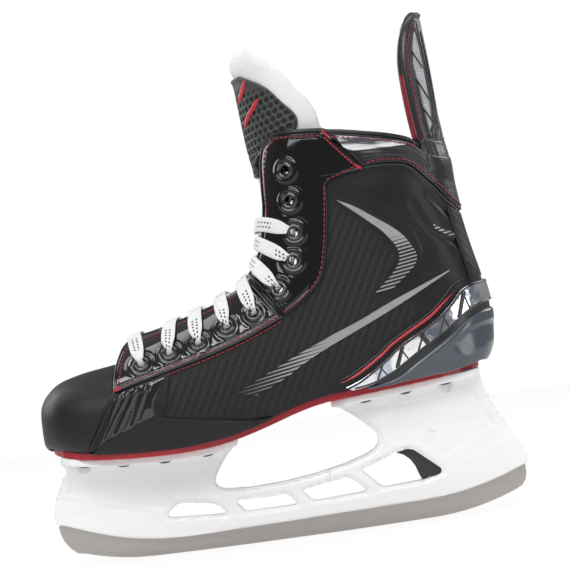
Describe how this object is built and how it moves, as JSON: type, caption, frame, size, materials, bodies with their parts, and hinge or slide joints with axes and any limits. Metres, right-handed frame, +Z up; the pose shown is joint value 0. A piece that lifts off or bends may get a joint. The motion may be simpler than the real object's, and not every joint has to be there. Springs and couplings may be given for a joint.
{
  "type": "ice hockey skate",
  "caption": "Ice hockey boot skate for a left foot: laced boot, hinged tendon guard and tongue, steel runner held in a plastic holder by a finger trigger.",
  "frame": {"origin": "middle of the runner's bottom edge, where the steel touches the ice", "axes": "+Z up, -X towards the toe, -Y towards the foot's outer side"},
  "size_m": [0.2952, 0.1003, 0.3111],
  "materials": {
    "runner_steel": "ground stainless steel",
    "holder_nylon": "moulded white nylon, soft gloss",
    "pin_steel": "plain steel",
    "trigger_plastic": "dark moulded nylon",
    "rivet_steel": "dark plated steel rivet",
    "rivet_washer": "brass washer",
    "outsole_plastic": "red moulded composite, semi-gloss",
    "lasting_board": "pressed fibre board",
    "footbed_foam": "cloth-topped foam",
    "toe_cap_plastic": "fine-grained charcoal plastic",
    "lining_fabric": "brushed knit",
    "quarter_composite": "ribbed composite shell",
    "padding_foam": "closed-cell foam",
    "counter_gloss": "grey-blue gloss moulding",
    "band_metallic": "bright metallic film",
    "piping_red": "red gloss piping",
    "patent_black": "black patent leather",
    "eyelet_metal": "black-nickel eyelet with a bright rim",
    "stay_black": "black moulded rubber",
    "collar_black": "black synthetic leather",
    "guard_black": "black synthetic leather over plastic",
    "guard_lining_red": "red lining cloth",
    "mesh_white": "white and grey mesh",
    "tongue_felt": "thick white felt",
    "shield_rubber": "embossed black rubber",
    "lace_white": "flat woven waxed lace",
    "aglet_plastic": "clear plastic tip"
  },
  "bodies": {
    "boot": {"holder": "holder_nylon", "hook_pin": "pin_steel", "trigger_pivot_pin": "pin_steel", "trigger_spring": "pin_steel", "rivets_front": "rivet_steel", "rivets_rear": "rivet_steel", "rivet_washers": "rivet_washer", "outsole": "outsole_plastic", "lasting_board": "lasting_board", "footbed": "footbed_foam", "toe_cap": "toe_cap_plastic", "toe_lining": "lining_fabric", "quarter_left": "quarter_composite", "quarter_right": "quarter_composite", "foam_left": "padding_foam", "foam_right": "padding_foam", "lining_left": "lining_fabric", "lining_right": "lining_fabric", "heel_counter": "counter_gloss", "heel_band": "band_metallic", "side_piping": "piping_red", "vamp_overlay_left": "patent_black", "vamp_overlay_right": "patent_black", "facing_lower_left": "patent_black", "facing_lower_right": "patent_black", "facing_upper_left": "patent_black", "facing_upper_right": "patent_black", "eyelets_left": "eyelet_metal", "eyelets_right": "eyelet_metal", "back_stay": "stay_black", "collar": "collar_black", "collar_trims": "band_metallic", "tongue_lower_felt": "tongue_felt", "lace": "lace_white", "aglets": "aglet_plastic"},
    "runner": {"runner": "runner_steel"},
    "trigger": {"trigger": "trigger_plastic"},
    "tendon_guard": {"tendon_guard": "guard_black", "tendon_guard_lining": "guard_lining_red", "tendon_guard_inlays": "mesh_white"},
    "tongue_top": {"tongue_top_felt": "tongue_felt", "tongue_shield": "shield_rubber"}
  },
  "joints": [
    {"name": "runner_hinge", "type": "hinge", "parent": "boot", "child": "runner", "pos_m": [-0.121, 0, 0.034], "axis": [0, 1, 0], "range_deg": [0, 4]},
    {"name": "trigger_hinge", "type": "hinge", "parent": "boot", "child": "trigger", "pos_m": [0.096, 0, 0.055], "axis": [0, 1, 0], "range_deg": [0, 16], "stiffness_Nm_per_rad": 0.5, "springref_deg": -28.65},
    {"name": "tendon_guard_hinge", "type": "hinge", "parent": "boot", "child": "tendon_guard", "pos_m": [0.127, 0, 0.2225], "axis": [0, 1, 0], "range_deg": [-3, 15], "stiffness_Nm_per_rad": 1.5},
    {"name": "tongue_hinge", "type": "hinge", "parent": "boot", "child": "tongue_top", "pos_m": [0.015, 0, 0.197], "axis": [0, -1, 0], "range_deg": [0, 30], "stiffness_Nm_per_rad": 0.3}
  ],
  "couplings": [
    {"joint": "trigger_hinge", "follows": "runner_hinge", "ratio": 4}
  ]
}
